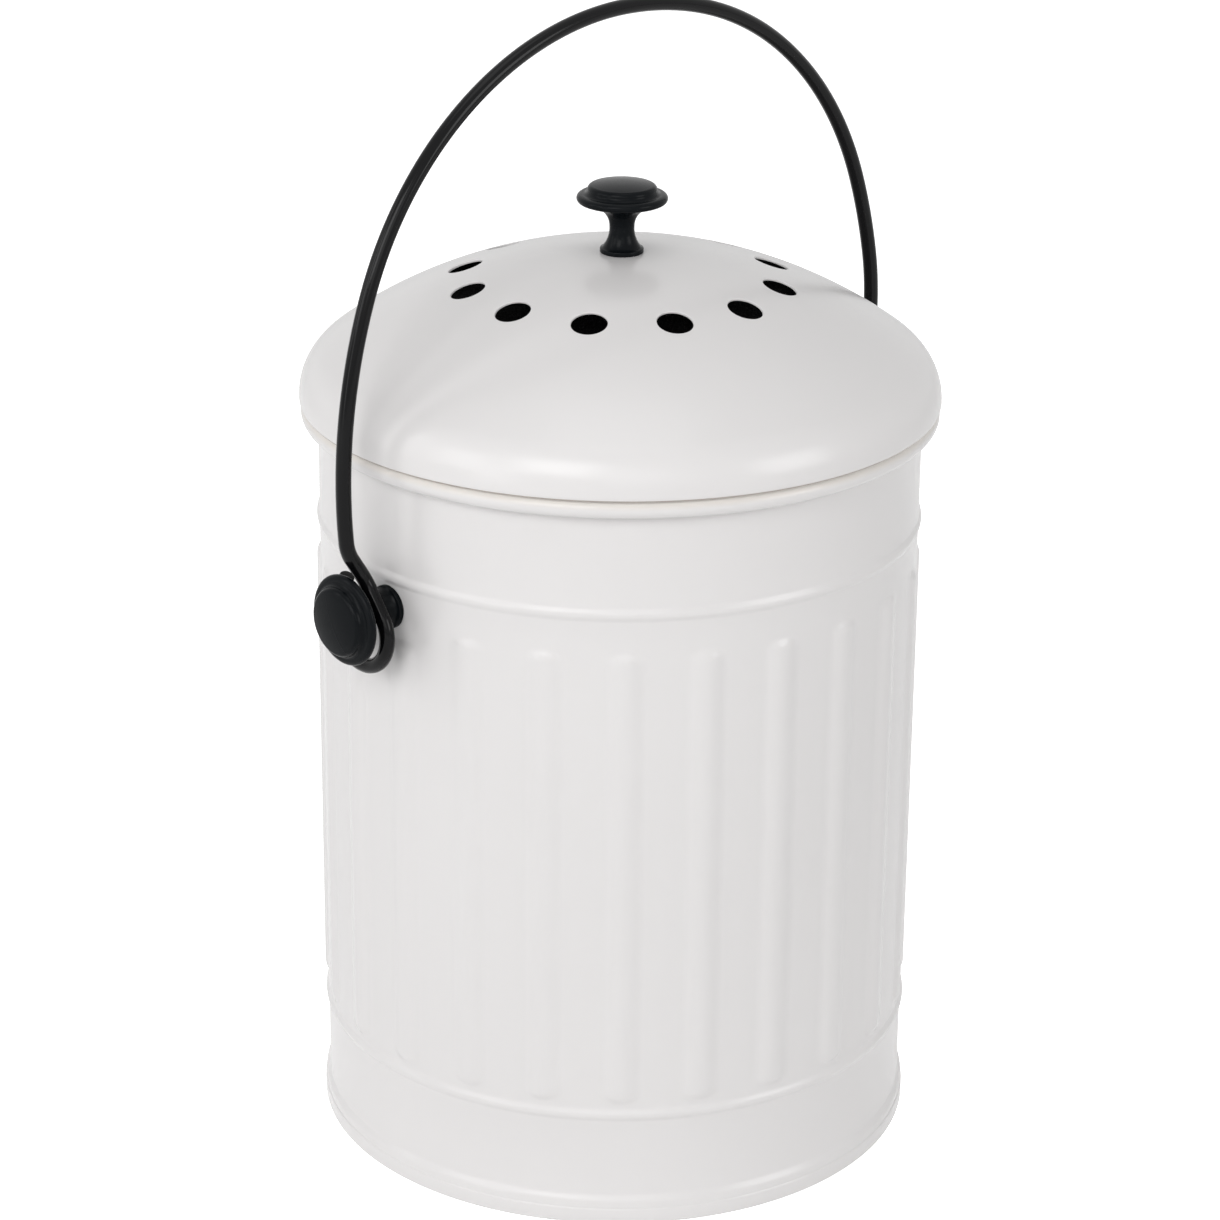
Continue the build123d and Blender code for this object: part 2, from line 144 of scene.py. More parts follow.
tree.links.new(both.outputs[0], output.inputs["Surface"])
floor.data.materials.append(paper)

LAMP_TARGET = Vector((0, 0, 0.16))
SOFTBOXES = {    # each lamp's place, its width and height, and its watts
    "key": ((-0.7, -1.6, 1.3), (0.9, 0.9), 10.6),
    "far_left": ((-1.6, -1.0, 1.0), (0.6, 0.9), 4.6),
    "low_left": ((-1.3, -1.4, 0.45), (0.4, 1.0), 2.3),
    "left": ((-1.8, -0.2, 0.9), (0.3, 1.2), 2.7),
    "right": ((1.7, -0.9, 0.8), (0.9, 0.9), 8.4),
    "front": ((0.2, -1.9, 1.0), (0.9, 0.9), 2.7),
    "top": ((0.0, -0.2, 1.9), (0.9, 0.9), 2.5),
}
for name, (place, size, power) in SOFTBOXES.items():
    lamp = bpy.data.lights.new(name, "AREA")
    lamp.shape = "RECTANGLE"
    lamp.size, lamp.size_y = size
    lamp.energy = power
    stand = bpy.data.objects.new(name, lamp)
    stand.location = turn @ Vector(place)
    stand.rotation_mode = "QUATERNION"
    stand.rotation_quaternion = (LAMP_TARGET - stand.location).to_track_quat("-Z", "Y")
    bpy.context.scene.collection.objects.link(stand)
bpy.context.scene.view_settings.view_transform = "Standard"


# Wall: 0.6 mm steel sheet, rolled and lap-seamed, with two beads, 24 pressed ribs and a rim curled
# outwards. It has a satin-gloss off-white powder coat inside and out, which rounds every edge.
MM = 0.001
SHEET = 0.6 * MM
_, wall_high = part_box("bin_wall")
RIM_Z = wall_high.z
WALL_R = 87.0 * MM
SEAM_LEG_R = 87.8 * MM
SEAM_LEG = (0.75 * MM, 4.1 * MM)
SKIRT_R = 88.2 * MM
SKIRT_STEP = (4.35 * MM, 4.6 * MM)
SKIRT_TOP = 6.3 * MM
WALL_STARTS = 9.1 * MM
BEAD_PROUD = 0.8 * MM
BEAD_HALF_WIDTH = 2.2 * MM
BEAD_HEIGHTS = (34.5 * MM, 187.8 * MM)
MOUTH_R = 87.3 * MM
FLARE = (211.0 * MM, 217.5 * MM)
CURL_R = 2.6 * MM
CURL_SWEEP = radians(291)
RIB_COUNT = 24
RIB_TURN = radians(3.4)
RIB_PROUD = 1.1 * MM
RIB_FORM_R = 9.0 * MM
RIB_SOFTNESS = 0.16 * MM
RIB_LOW = 38.1 * MM
RIB_HIGH = 176.6 * MM
RIB_HIGH_AT_KNOB = 170.5 * MM
RIB_END = 3.1 * MM
RIB_END_STEEPNESS = 1.5
RIB_CLEAR = 1.4 * MM
STEPS_PER_RIB = 20
LAP_SEAM_TURN = radians(55.9)
LAP_SEAM_HALF_WIDTH = 2.5 * MM
LAP_SEAM_PROUD = 0.35 * MM
LAP_SEAM = (12.0 * MM, 210.0 * MM)
PIVOT_Z = 179.1 * MM
SAME_POINT = 0.002 * MM
CREASE = radians(38)


def arc(centre, radius, start, sweep, count, ends=(True, True)):
    """Points round an arc in a section, with or without its first and last."""
    steps = range(0 if ends[0] else 1, count + (1 if ends[1] else 0))
    return [(centre[0] + radius * cos(start + sweep * k / count),
             centre[1] + radius * sin(start + sweep * k / count)) for k in steps]


def eased(low, high, count):
    """Points of a soft step between two points of a section, upright at both ends."""
    points = []
    for k in range(count + 1):
        share = k / count
        blend = share * share * (3 - 2 * share)
        points.append((low[0] + (high[0] - low[0]) * blend, low[1] + (high[1] - low[1]) * share))
    return points


def rise(radius, low, high, count):
    """Points straight up a wall, without its two ends."""
    return [(radius, low + (high - low) * k / count) for k in range(1, count)]


def sheet_section(line):
    """Closed outline of sheet metal that follows a line along its middle."""
    points = [Vector(point) for point in line]
    headings = [(after - before).normalized() for before, after in zip(points, points[1:])]
    left, right = [], []
    for point, before, after in zip(points, headings[:1] + headings, headings + headings[-1:]):
        out = Vector((-before.y - after.y, before.x + after.x)) * (SHEET / 2 / (1 + before.dot(after)))
        left.append(point + out)
        right.append(point - out)
    return left + right[::-1]


def lathe(outline, steps, closed=True):
    """A mesh turned about Z from a section's points, each a radius and a height."""
    mesh = bmesh.new()
    ring = [mesh.verts.new((point[0], 0, point[1])) for point in outline]
    edges = [mesh.edges.new(pair) for pair in zip(ring, ring[1:])]
    if closed:
        edges.append(mesh.edges.new((ring[-1], ring[0])))
    bmesh.ops.spin(mesh, geom=ring + edges, axis=(0, 0, 1), cent=(0, 0, 0), dvec=(0, 0, 0),
                   angle=2 * pi, steps=steps, use_merge=True)
    bmesh.ops.remove_doubles(mesh, verts=mesh.verts, dist=SAME_POINT)
    return mesh


def piece(mesh, name, finish, body, nodes):
    """A finished piece on its body, in place of CAD nodes; faces meeting sharply keep their edge."""
    bmesh.ops.recalc_face_normals(mesh, faces=mesh.faces)
    for face in mesh.faces:
        face.smooth = True
    for edge in mesh.edges:
        edge.smooth = edge.calc_face_angle(0) < CREASE
    shape = bpy.data.objects.new(name, bpy.data.meshes.new(name))
    mesh.to_mesh(shape.data)
    mesh.free()
    shape.data.materials.append(finish)
    bpy.context.scene.collection.objects.link(shape)
    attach(shape, body)
    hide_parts(*nodes)
    return shape


def group_skin(name, inputs, outputs):
    """An empty node group with named inputs and outputs."""
    group = bpy.data.node_groups.new(name, "ShaderNodeTree")
    for label, kind, value in inputs:
        socket = group.interface.new_socket(name=label, in_out="INPUT", socket_type=kind)
        socket.default_value = value
    for label, kind in outputs:
        group.interface.new_socket(name=label, in_out="OUTPUT", socket_type=kind)
    return group, group.nodes.new("NodeGroupInput"), group.nodes.new("NodeGroupOutput")


def noise(tree, place, scale, detail, rough=0.5):
    """A noise texture read at a place."""
    node = tree.nodes.new("ShaderNodeTexNoise")
    node.inputs["Detail"].default_value = detail
    node.inputs["Roughness"].default_value = rough
    tree.links.new(place, node.inputs["Vector"])
    if isinstance(scale, (int, float)):
        node.inputs["Scale"].default_value = scale
    else:
        tree.links.new(scale, node.inputs["Scale"])
    return node.outputs["Fac"]


def ranged(tree, value, low, high):
    """A value from 0 to 1 spread from low to high."""
    node = tree.nodes.new("ShaderNodeMapRange")
    tree.links.new(value, node.inputs["Value"])
    for socket, limit in (("To Min", low), ("To Max", high)):
        if isinstance(limit, (int, float)):
            node.inputs[socket].default_value = limit
        else:
            tree.links.new(limit, node.inputs[socket])
    return node.outputs["Result"]


CLOUD_SCALE = 12.0
SHEEN_SCALE = 22.0


def sprayed_skin():
    """Sprayed and baked coat: cloudy thickness and gloss, and faint orange peel."""
    group, given, made = group_skin(
        "sprayed_skin",
        [("Place", "NodeSocketVector", (0, 0, 0)), ("Thin", "NodeSocketColor", (0.8, 0.8, 0.8, 1)),
         ("Thick", "NodeSocketColor", (0.8, 0.8, 0.8, 1)), ("Peel Size", "NodeSocketFloat", 450.0),
         ("Gloss Low", "NodeSocketFloat", 0.28), ("Gloss High", "NodeSocketFloat", 0.38)],
        [("Color", "NodeSocketColor"), ("Roughness", "NodeSocketFloat"), ("Height", "NodeSocketFloat")])
    place = given.outputs["Place"]
    clouds = noise(group, place, CLOUD_SCALE, 1.0)
    mix = group.nodes.new("ShaderNodeMix")
    mix.data_type = "RGBA"
    group.links.new(clouds, mix.inputs["Factor"])
    group.links.new(given.outputs["Thin"], mix.inputs["A"])
    group.links.new(given.outputs["Thick"], mix.inputs["B"])
    group.links.new(mix.outputs["Result"], made.inputs["Color"])
    gloss = noise(group, place, SHEEN_SCALE, 1.0)
    group.links.new(ranged(group, gloss, given.outputs["Gloss Low"], given.outputs["Gloss High"]),
                    made.inputs["Roughness"])
    group.links.new(noise(group, place, given.outputs["Peel Size"], 0.0), made.inputs["Height"])
    return group


def finish_base(name):
    """A material with its shader and a pattern place on the piece itself."""
    material = bpy.data.materials.new(name)
    tree, output = shader_tree(material)
    shader = tree.nodes.new("ShaderNodeBsdfPrincipled")
    tree.links.new(shader.outputs["BSDF"], output.inputs["Surface"])
    where = tree.nodes.new("ShaderNodeTexCoord")
    mapping = tree.nodes.new("ShaderNodeMapping")
    tree.links.new(where.outputs["Object"], mapping.inputs["Vector"])
    return material, tree, shader, mapping.outputs["Vector"]


def bumped(tree, shader, height, depth):
    """A bump of a real depth on the shader's normal."""
    bump = tree.nodes.new("ShaderNodeBump")
    bump.inputs["Strength"].default_value = 1.0
    bump.inputs["Distance"].default_value = depth
    tree.links.new(height, bump.inputs["Height"])
    tree.links.new(bump.outputs["Normal"], shader.inputs["Normal"])


sprayed = sprayed_skin()


def spray(tree, shader, place, thin, thick, peel, gloss, depth):
    """Puts the coat on a shader with its colours, peel size, gloss range and depth; returns its colour."""
    skin = tree.nodes.new("ShaderNodeGroup")
    skin.node_tree = sprayed
    tree.links.new(place, skin.inputs["Place"])
    for label, value in (("Thin", (*thin, 1)), ("Thick", (*thick, 1)), ("Peel Size", peel),
                         ("Gloss Low", gloss[0]), ("Gloss High", gloss[1])):
        skin.inputs[label].default_value = value
    tree.links.new(skin.outputs["Color"], shader.inputs["Base Color"])
    tree.links.new(skin.outputs["Roughness"], shader.inputs["Roughness"])
    bumped(tree, shader, skin.outputs["Height"], depth)
    return skin.outputs["Color"]


def coated(name, thin, thick, peel, gloss, depth, shine=0.4, edge=None):
    """A sprayed finish. An edge gives a band of another colour by height, and the heights where it is
    clear, full and stops; on the lid that band is painted shade at its seam with the rim, on the rim a
    cream band.
    """
    material, tree, shader, place = finish_base(name)
    colour = spray(tree, shader, place, thin, thick, peel, gloss, depth)
    shader.inputs["Specular IOR Level"].default_value = shine
    if edge:
        tint, clear, full, stop = edge
        heights = tree.nodes.new("ShaderNodeSeparateXYZ")
        tree.links.new(place, heights.inputs["Vector"])
        band = tree.nodes.new("ShaderNodeMath")
        band.operation = "MINIMUM"
        for socket, untinted in zip(band.inputs, (clear, stop)):
            fade = tree.nodes.new("ShaderNodeMapRange")
            fade.inputs["From Min"].default_value = untinted
            fade.inputs["From Max"].default_value = full
            tree.links.new(heights.outputs["Z"], fade.inputs["Value"])
            tree.links.new(fade.outputs["Result"], socket)
        mix = tree.nodes.new("ShaderNodeMix")
        mix.data_type = "RGBA"
        mix.inputs["B"].default_value = (*tint, 1)
        tree.links.new(band.outputs[0], mix.inputs["Factor"])
        tree.links.new(colour, mix.inputs["A"])
        tree.links.new(mix.outputs["Result"], shader.inputs["Base Color"])
    return material


WHITE_FINISH = {"thin": (0.79, 0.774, 0.770), "thick": (0.815, 0.799, 0.795), "peel": 110.0,
                "gloss": (0.19, 0.27), "depth": 0.006 * MM}
RIM_TINT = ((0.80, 0.765, 0.725), RIM_Z - 2.4 * MM, RIM_Z - 1.2 * MM, RIM_Z + 9 * MM)
white_coat = coated("white_powder_coat", **WHITE_FINISH)
wall_coat = coated("wall_powder_coat", **WHITE_FINISH, edge=RIM_TINT)

middle = SHEET / 2
curl_r = CURL_R - middle
wall_line = [(SEAM_LEG_R - middle, height) for height in SEAM_LEG]
wall_line += eased((SEAM_LEG_R - middle, SKIRT_STEP[0]), (SKIRT_R - middle, SKIRT_STEP[1]), 3)[1:]
wall_line += eased((SKIRT_R - middle, SKIRT_TOP), (WALL_R - middle, WALL_STARTS), 6)


def bead_line(height, count=10):
    """A bead rolled outwards, as a raised cosine."""
    points = []
    for k in range(count + 1):
        share = 2 * k / count - 1
        points.append((WALL_R - middle + BEAD_PROUD * (1 + cos(pi * share)) / 2,
                       height + BEAD_HALF_WIDTH * share))
    return points


wall_line += bead_line(BEAD_HEIGHTS[0])
wall_line += rise(WALL_R - middle, RIB_LOW - RIB_CLEAR, RIB_LOW + 2 * RIB_END, 13)
wall_line += rise(WALL_R - middle, RIB_LOW + 2 * RIB_END, RIB_HIGH_AT_KNOB - 2 * RIB_END, 5)
wall_line += rise(WALL_R - middle, RIB_HIGH_AT_KNOB - 2 * RIB_END, RIB_HIGH + RIB_CLEAR, 19)
wall_line += bead_line(BEAD_HEIGHTS[1])
wall_line += eased((WALL_R - middle, FLARE[0]), (MOUTH_R - middle, FLARE[1]), 3)
wall_line += arc((MOUTH_R - middle + curl_r, RIM_Z - CURL_R), curl_r, pi, -CURL_SWEEP, 20)
mesh = lathe(sheet_section(wall_line), RIB_COUNT * STEPS_PER_RIB)


def rib_height(angle, height):
    """How far the pressed ribs stand out of the wall at an angle and a height."""
    pitch = 2 * pi / RIB_COUNT
    index = round((angle - RIB_TURN) / pitch)
    aside = WALL_R * sin(angle - RIB_TURN - index * pitch)
    high = RIB_HIGH_AT_KNOB if index % (RIB_COUNT // 2) == 0 else RIB_HIGH
    beyond = RIB_END_STEEPNESS * max(0.0, RIB_LOW + RIB_END - height, height - (high - RIB_END))
    crown = RIB_PROUD - (aside**2 + beyond**2) * (1 / RIB_FORM_R - 1 / WALL_R) / 2
    return (crown + sqrt(crown**2 + RIB_SOFTNESS**2)) / 2 if crown > -RIB_PROUD else 0.0


for vert in mesh.verts:
    radius = hypot(vert.co.x, vert.co.y)
    angle = atan2(vert.co.y, vert.co.x)
    out = 0.0
    if BEAD_HEIGHTS[0] + BEAD_HALF_WIDTH < vert.co.z < BEAD_HEIGHTS[1] - BEAD_HALF_WIDTH:
        out += rib_height(angle, vert.co.z)
    aside = abs(WALL_R * sin(angle - LAP_SEAM_TURN))
    if radius < WALL_R - middle and aside < LAP_SEAM_HALF_WIDTH and cos(angle - LAP_SEAM_TURN) > 0:
        if LAP_SEAM[0] < vert.co.z < LAP_SEAM[1]:
            out -= LAP_SEAM_PROUD
    vert.co.x *= 1 + out / radius
    vert.co.y *= 1 + out / radius
piece(mesh, "ribbed_wall", wall_coat, "bin", ["bin_wall"])


# Bottom: a pressed steel pan whose edge is folded down, under and up round the wall's lower edge,
# and rolled tight. The bin stands on the fold.
_, base_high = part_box("base_pan")
PANEL_Z = 3.3 * MM
PANEL_STEP_R = 62.0 * MM
PANEL_RISE = 1.0 * MM
PANEL_BEND = 0.9 * MM
FOLD_GAP = 0.08 * MM
HEM_BEND = 0.35 * MM
HEM_LIP = ((0.0, 0.5), (0.05, 0.15), (0.18, 0.0))    # how far in and how far down, in mm
TURN_STEPS = 288
hem_r = base_high.x - middle
inner_leg_r = SEAM_LEG_R - SHEET - FOLD_GAP - middle
pan_line = [(0, PANEL_Z + PANEL_RISE), (PANEL_STEP_R * 0.5, PANEL_Z + PANEL_RISE)]
pan_line += [(PANEL_STEP_R, PANEL_Z + PANEL_RISE), (PANEL_STEP_R + 2 * PANEL_RISE, PANEL_Z)]
pan_line += arc((inner_leg_r - PANEL_BEND, PANEL_Z - PANEL_BEND), PANEL_BEND, pi / 2, -pi / 2, 6)
pan_line += arc((inner_leg_r + HEM_BEND, middle + HEM_BEND), HEM_BEND, pi, pi / 2, 3)
pan_line += arc((hem_r - HEM_BEND, middle + HEM_BEND), HEM_BEND, -pi / 2, pi / 2, 3)
pan_line += [(hem_r - inward * MM, base_high.z - down * MM) for inward, down in HEM_LIP]
piece(lathe(sheet_section(pan_line), TURN_STEPS), "hemmed_base", white_coat, "bin",
      ["base_pan"])


# Lid: a spun steel dome with a flat for the knob, 12 punched vents, a rounded shoulder and an edge
# turned in flat. The same coat covers it and rounds the lip of each vent.
dome_low, dome_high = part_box("lid_dome")
LID_R = dome_high.x
DOME_R = 144.7 * MM
DOME_CENTRE = 120.0 * MM
SHOULDER_R = 16.5 * MM
LID_EDGE_R = 1.1 * MM
LID_HEM_R = 88.9 * MM
LID_STEPS = 360
SEAT_R = 6.6 * MM
SEAT_FLAT_R = SEAT_R * 0.85
VENT_COUNT = 12
VENT_TURN = radians(6.0)
VENT_RING_R = 45.7 * MM
VENT_R = 5.1 * MM
VENT_LIP = 0.28 * MM
PUNCH_BELOW = 6 * MM
PUNCH_ABOVE = 3 * MM
PUNCH_STEPS = 56
# Painted shade: a thin dark brown band along the lid's lower edge stands for the shade in the gap where the
# lid sits on the rim.
SEAM_PAINTED_SHADE = ((0.30, 0.24, 0.19), RIM_Z + 0.75 * MM, RIM_Z + 0.4 * MM, RIM_Z + 0.05 * MM)
seat_z = dome_high.z
shoulder_x = LID_R - SHOULDER_R
shoulder_z = DOME_CENTRE + sqrt((DOME_R - SHOULDER_R) ** 2 - shoulder_x**2)
shoulder_start = acos(shoulder_x / (DOME_R - SHOULDER_R))
seat_start = acos(SEAT_R / (DOME_R - middle))
lid_line = [(0, seat_z - middle), (SEAT_FLAT_R, seat_z - middle)]
lid_line += arc((0, DOME_CENTRE), DOME_R - middle, seat_start, shoulder_start - seat_start, 44)
lid_line += arc((shoulder_x, shoulder_z), SHOULDER_R - middle, shoulder_start, -shoulder_start, 18,
                (False, True))
lid_line += arc((LID_R - LID_EDGE_R, dome_low.z + LID_EDGE_R), LID_EDGE_R - middle, 0, -pi / 2, 5)
lid_line += [(LID_HEM_R, dome_low.z + middle)]
dome = lathe(sheet_section(lid_line), LID_STEPS)
bmesh.ops.recalc_face_normals(dome, faces=dome.faces)


def vent_cutter():
    """The punch of one vent, which leaves a rounded lip, along the dome's own radius."""
    lip_r = VENT_R + VENT_LIP
    lip_z = sqrt(DOME_R**2 - lip_r**2) - VENT_LIP
    outline = [(0, DOME_R - PUNCH_BELOW), (VENT_R, DOME_R - PUNCH_BELOW)]
    outline += arc((lip_r, lip_z), VENT_LIP, pi, -pi / 2, 6)
    outline += [(lip_r, DOME_R + PUNCH_ABOVE), (0, DOME_R + PUNCH_ABOVE)]
    return lathe(outline, PUNCH_STEPS, closed=False)


cutters = bmesh.new()
tilt = asin(VENT_RING_R / DOME_R)
for index in range(VENT_COUNT):
    punch = vent_cutter()
    place = (Matrix.Rotation(VENT_TURN + index * 2 * pi / VENT_COUNT, 4, "Z")
             @ Matrix.Translation((0, 0, DOME_CENTRE)) @ Matrix.Rotation(tilt, 4, "Y"))
    bmesh.ops.transform(punch, matrix=place, verts=punch.verts)
    bmesh.ops.recalc_face_normals(punch, faces=punch.faces)
    copied = bpy.data.meshes.new("punch")
    punch.to_mesh(copied)
    punch.free()
    cutters.from_mesh(copied)
punch_shape = bpy.data.objects.new("punches", bpy.data.meshes.new("punches"))
cutters.to_mesh(punch_shape.data)
cutters.free()
blank = bpy.data.objects.new("lid_blank", bpy.data.meshes.new("lid_blank"))
dome.to_mesh(blank.data)
dome.free()
for shape in (blank, punch_shape):
    bpy.context.scene.collection.objects.link(shape)
cut = blank.modifiers.new("vents", "BOOLEAN")
cut.operation = "DIFFERENCE"
cut.solver = "EXACT"
cut.object = punch_shape
bpy.context.view_layer.update()
dome = bmesh.new()
dome.from_mesh(blank.evaluated_get(bpy.context.evaluated_depsgraph_get()).to_mesh())
for shape in (blank, punch_shape):
    bpy.data.objects.remove(shape)
# The lid's coat carries the painted seam shade along its lower edge.
lid_coat_with_seam_shade = coated("lid_coat_and_painted_seam_shade", **WHITE_FINISH, edge=SEAM_PAINTED_SHADE)
piece(dome, "domed_lid", lid_coat_with_seam_shade, "lid", ["lid_dome"])


# Collar: a second pressed ring clamped on the lid's turned-in edge. Its wall drops into the mouth and
# centres the lid. It has the same coat.
_, collar_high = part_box("lid_collar")
COLLAR_R = 85.6 * MM
COLLAR_LOW_Z = 208.5 * MM
COLLAR_BEND = 1.5 * MM
COLLAR_LEAD = radians(60)
collar_wall = COLLAR_R - middle
collar_line = [(collar_high.x, collar_high.z - middle)]
collar_line += arc((collar_wall + COLLAR_BEND, collar_high.z - middle - COLLAR_BEND), COLLAR_BEND,
                   pi / 2, pi / 2, 8)
collar_line += arc((collar_wall - COLLAR_BEND, COLLAR_LOW_Z + COLLAR_BEND), COLLAR_BEND, 0, -COLLAR_LEAD, 7)
piece(lathe(sheet_section(collar_line), TURN_STEPS), "pressed_collar", white_coat, "lid",
      ["lid_collar"])


# Knobs: one black turned shape, used on the lid and on both sides. A round foot, a waisted neck, a
# flared head with a rolled edge, and a raised disc on top. Each is held by a screw from inside.
black_coat = coated("black_satin_coat", thin=(0.0035, 0.0045, 0.0055), thick=(0.006, 0.0075, 0.009),
                    peel=700.0, gloss=(0.20, 0.26), depth=0.002 * MM, shine=0.07)
KNOB_STEPS = 96
FOOT_FIT = 1.0 * MM
# Points of the section, in mm, each a radius and a height.
FOOT_R = 6.25
FOOT_CHAMFER = 0.2
FOOT_SIDE = 1.0
FOOT_ROUND_Z = 1.05
FOOT_ROUND = 0.35
NECK = (3.6, 7.5)
HEAD_UNDER_RIM = (11.9, 14.6)
KNOB_TOP = (0.0, 20.5)


def round_through(first, middle_point, last, count):
    """Points on the arc through three points of a section."""
    (ax, ay), (bx, by), (cx, cy) = first, middle_point, last
    scale = 2 * (ax * (by - cy) + bx * (cy - ay) + cx * (ay - by))
    ux = ((ax**2 + ay**2) * (by - cy) + (bx**2 + by**2) * (cy - ay) + (cx**2 + cy**2) * (ay - by)) / scale
    uy = ((ax**2 + ay**2) * (cx - bx) + (bx**2 + by**2) * (ax - cx) + (cx**2 + cy**2) * (bx - ax)) / scale
    start = atan2(ay - uy, ax - ux)
    sweep = atan2(cy - uy, cx - ux) - start
    through = atan2(by - uy, bx - ux) - start
    sweep = sweep % (2 * pi)
    if through % (2 * pi) > sweep:
        sweep -= 2 * pi
    return arc((ux, uy), hypot(ax - ux, ay - uy), start, sweep, count)


def knob_outline():
    """Half section of a knob, up from the middle of its foot."""
    profile = [(0, 0), (FOOT_R - FOOT_CHAMFER, 0), (FOOT_R, FOOT_CHAMFER), (FOOT_R, FOOT_SIDE)]
    profile += arc((FOOT_R - FOOT_ROUND, FOOT_ROUND_Z), FOOT_ROUND, 0, pi / 2, 4, (False, True))
    profile += round_through((5.55, 1.6), (4.05, 4.2), NECK, 12)[:-1]
    profile += round_through(NECK, (4.6, 10.9), (7.6, 13.1), 14)
    profile += round_through((7.9, 13.25), (10.2, 14.1), HEAD_UNDER_RIM, 4)[1:-1]
    profile += round_through(HEAD_UNDER_RIM, (13.0, 15.8), (12.2, 16.9), 12)
    profile += round_through((11.6, 17.1), (10.3, 17.5), (9.95, 18.2), 6)
    profile += round_through((9.95, 18.4), (9.55, 19.25), (8.5, 19.72), 8)
    profile += round_through((8.1, 19.81), (4.2, 20.34), KNOB_TOP, 8)
    return [(radius * MM, height * MM) for radius, height in profile[:-1] + [KNOB_TOP]]


def knob_mesh(place, wall_r=None):
    """A knob put in place; a wall's radius wraps the foot's underside round that wall."""
    mesh = lathe(knob_outline(), KNOB_STEPS, closed=False)
    bmesh.ops.transform(mesh, matrix=place, verts=mesh.verts)
    if wall_r:
        for vert in mesh.verts:
            drop = wall_r - sqrt(wall_r**2 - vert.co.y**2)
            share = max(0.0, 1 - (abs(vert.co.x) - wall_r) / FOOT_FIT)
            vert.co.x -= (1 if vert.co.x > 0 else -1) * drop * min(1.0, share)
    return mesh


piece(knob_mesh(Matrix.Translation((0, 0, seat_z))), "turned_lid_knob", black_coat, "lid",
      ["lid_knob"])
for side, node in ((-1, "left"), (1, "right")):
    place = Matrix.Translation((side * WALL_R, 0, PIVOT_Z)) @ Matrix.Rotation(side * pi / 2, 4, "Y")
    piece(knob_mesh(place, WALL_R), "turned_" + node + "_knob", black_coat, "bin",
          [node + "_knob"])


# Bail: one length of 4.4 mm steel wire, bent to an arch with an open eye hooked round each neck, and
# sprayed black after bending. Its cut ends are only deburred.
WIRE_R = 2.2 * MM
BAIL_APEX = 335.0 * MM
ARCH_R = 99.0 * MM
ARCH_END = radians(20.0)
FLANK_R = 157.5 * MM
FLANK_END = radians(-4.5)
LEG_END = Vector((101.6 * MM, 198.6 * MM))
EYE_X = WALL_R + 8.2 * MM
EYE_R = 10.4 * MM
EYE_BEHIND = 1.5 * MM
EYE_BELOW = 5.3 * MM
EYE_LEAVES = radians(38.0)
TAIL_R = 28.0 * MM
TAIL_SWEEP = radians(30.0)
KNEE_R = 12.0 * MM
EYE_BEND_R = 8.0 * MM
RIGHT_LEG_FULLER = 2.4 * MM
FULLER_ABOVE_LEG = 45 * MM
FULLER_FROM_TOP = 60 * MM
DEBURR = 0.35 * MM


def fillet(before, corner, after, radius, count=10):
    """Points round a bend of a wire between two straight runs."""
    into = (before - corner).normalized()
    out = (after - corner).normalized()
    half = acos(max(-1.0, min(1.0, into.dot(out)))) / 2
    reach = radius / (sin(half) / cos(half))
    centre = corner + (into + out).normalized() * (radius / sin(half))
    start = corner + into * reach - centre
    end = corner + out * reach - centre
    total = start.angle(end)
    points = []
    for k in range(count + 1):
        share = k / count
        mixed = start * sin((1 - share) * total) + end * sin(share * total)
        points.append(centre + mixed / sin(total))
    return points


def bail_half():
    """Points along the right half of the wire, from its cut end up to the top of the arch."""
    eye_y = -EYE_BEHIND
    eye_z = PIVOT_Z - EYE_BELOW

    def at_eye(point):
        return Vector((EYE_X, -(eye_y + point[0]), eye_z + point[1]))

    tail_centre = (TAIL_R - EYE_R, 0)
    line = [at_eye(p) for p in arc(tail_centre, TAIL_R, pi - TAIL_SWEEP, TAIL_SWEEP, 10, (True, False))]
    line += [at_eye(p) for p in arc((0, 0), EYE_R, pi, pi + EYE_LEAVES, 40)]
    leaving = line[-1]
    knee = leaving + Vector((0, sin(EYE_LEAVES), cos(EYE_LEAVES))) * (-leaving.y / sin(EYE_LEAVES))
    arch_z = BAIL_APEX - ARCH_R
    lag = FLANK_R - ARCH_R
    flank_centre = (-lag * cos(ARCH_END), arch_z - lag * sin(ARCH_END))
    flank_start = Vector((flank_centre[0] + FLANK_R * cos(FLANK_END), 0,
                          arch_z + FLANK_R * sin(FLANK_END) - lag * sin(ARCH_END)))
    leg_end = Vector((LEG_END.x, 0, LEG_END.y))
    line += fillet(leaving, knee, leg_end, EYE_BEND_R)
    line += fillet(knee, leg_end, flank_start, KNEE_R)
    flank = arc(flank_centre, FLANK_R, FLANK_END, ARCH_END - FLANK_END, 30)
    arch = arc((0, arch_z), ARCH_R, ARCH_END, pi / 2 - ARCH_END, 44, (False, True))
    line += [Vector((x, 0, z)) for x, z in flank + arch]
    return line


def fuller(point):
    """A point of the right leg, which was bent a little fuller than the left one."""
    high = max(0.0, min(1.0, (point.z - LEG_END.y) / FULLER_ABOVE_LEG))
    across = sin(min(1.0, point.x / FULLER_FROM_TOP) * pi / 2)
    return point + Vector((RIGHT_LEG_FULLER * high * high * (3 - 2 * high) * across, 0, 0))


